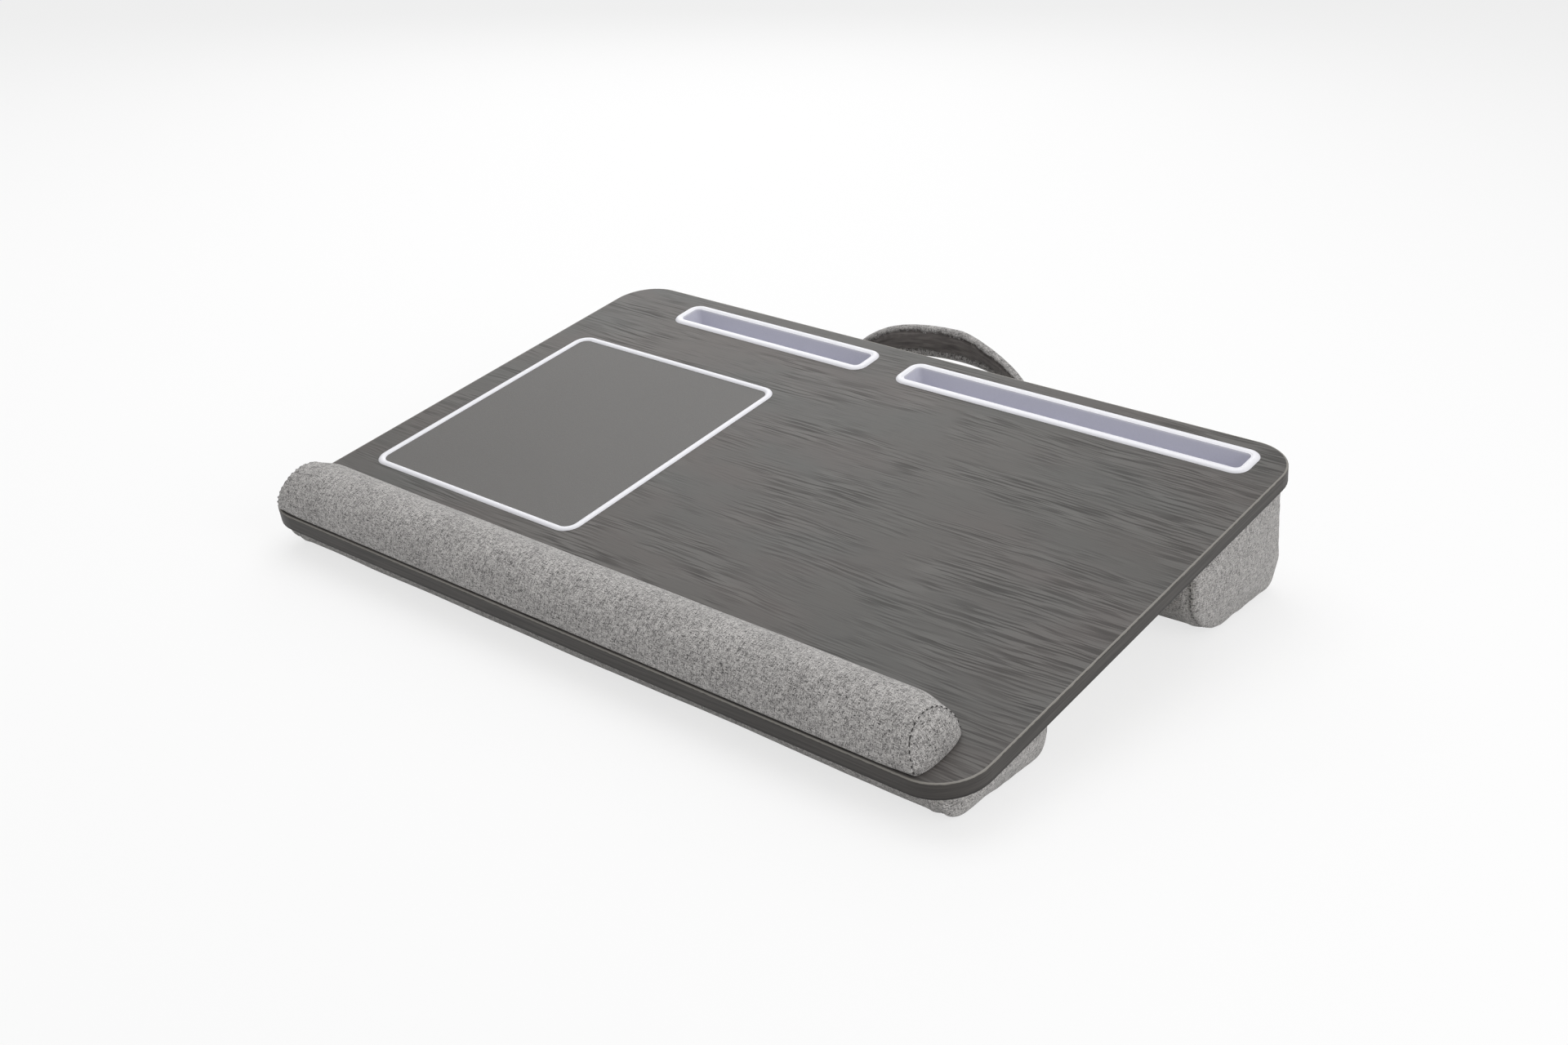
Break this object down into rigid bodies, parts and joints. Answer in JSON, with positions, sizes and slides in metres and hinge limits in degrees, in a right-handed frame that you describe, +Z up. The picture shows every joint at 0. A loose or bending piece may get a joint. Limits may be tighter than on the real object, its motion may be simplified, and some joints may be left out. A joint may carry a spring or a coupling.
{
  "type": "lap desk",
  "caption": "Cushioned lap desk: wood-grain board with wrist rest, flush mouse pad, phone and tablet slots and a folding soft carry handle.",
  "frame": {"origin": "centre of the part's box, on the table that its two cushions stand on", "axes": "+X along the board to the user's right, +Y from the user towards the rear edge with the handle, +Z up; the board leans towards the user about X"},
  "size_m": [0.55, 0.4002, 0.1025],
  "materials": {
    "fibreboard": "matte",
    "wood_grain_laminate": "satin",
    "balancing_laminate": "matte",
    "edge_band": "matte",
    "lining": "matte",
    "pad_face": "matte",
    "pad_rubber": "matte",
    "white_plastic": "satin",
    "linen_weave": "matte",
    "foam": "matte",
    "handle_weave": "matte",
    "steel_wire": "satin"
  },
  "bodies": {
    "desk": {"board_core": "fibreboard", "top_laminate": "wood_grain_laminate", "bottom_laminate": "balancing_laminate", "edge_band": "edge_band", "lining_cloth": "lining", "mouse_pad_face": "pad_face", "mouse_pad_base": "pad_rubber", "mouse_pad_rim": "white_plastic", "phone_tray": "white_plastic", "tablet_tray": "white_plastic", "wrist_rest_cover": "linen_weave", "wrist_rest_end_left": "linen_weave", "wrist_rest_end_right": "linen_weave", "wrist_rest_foam": "foam", "wrist_rest_backing": "fibreboard", "rear_cushion_cover": "linen_weave", "rear_cushion_end_left": "linen_weave", "rear_cushion_end_right": "linen_weave", "rear_cushion_filling": "foam", "front_cushion_cover": "linen_weave", "front_cushion_end_left": "linen_weave", "front_cushion_end_right": "linen_weave", "front_cushion_filling": "foam", "handle_tail_left": "handle_weave", "handle_tail_right": "handle_weave", "handle_staples": "steel_wire"},
    "handle": {"handle_cover": "handle_weave", "handle_core": "foam"}
  },
  "joints": [
    {"name": "handle_fold", "type": "hinge", "parent": "desk", "child": "handle", "pos_m": [0, 0.17001, 0.08059], "axis": [1, 0, 0], "range_deg": [-95, 45]}
  ]
}
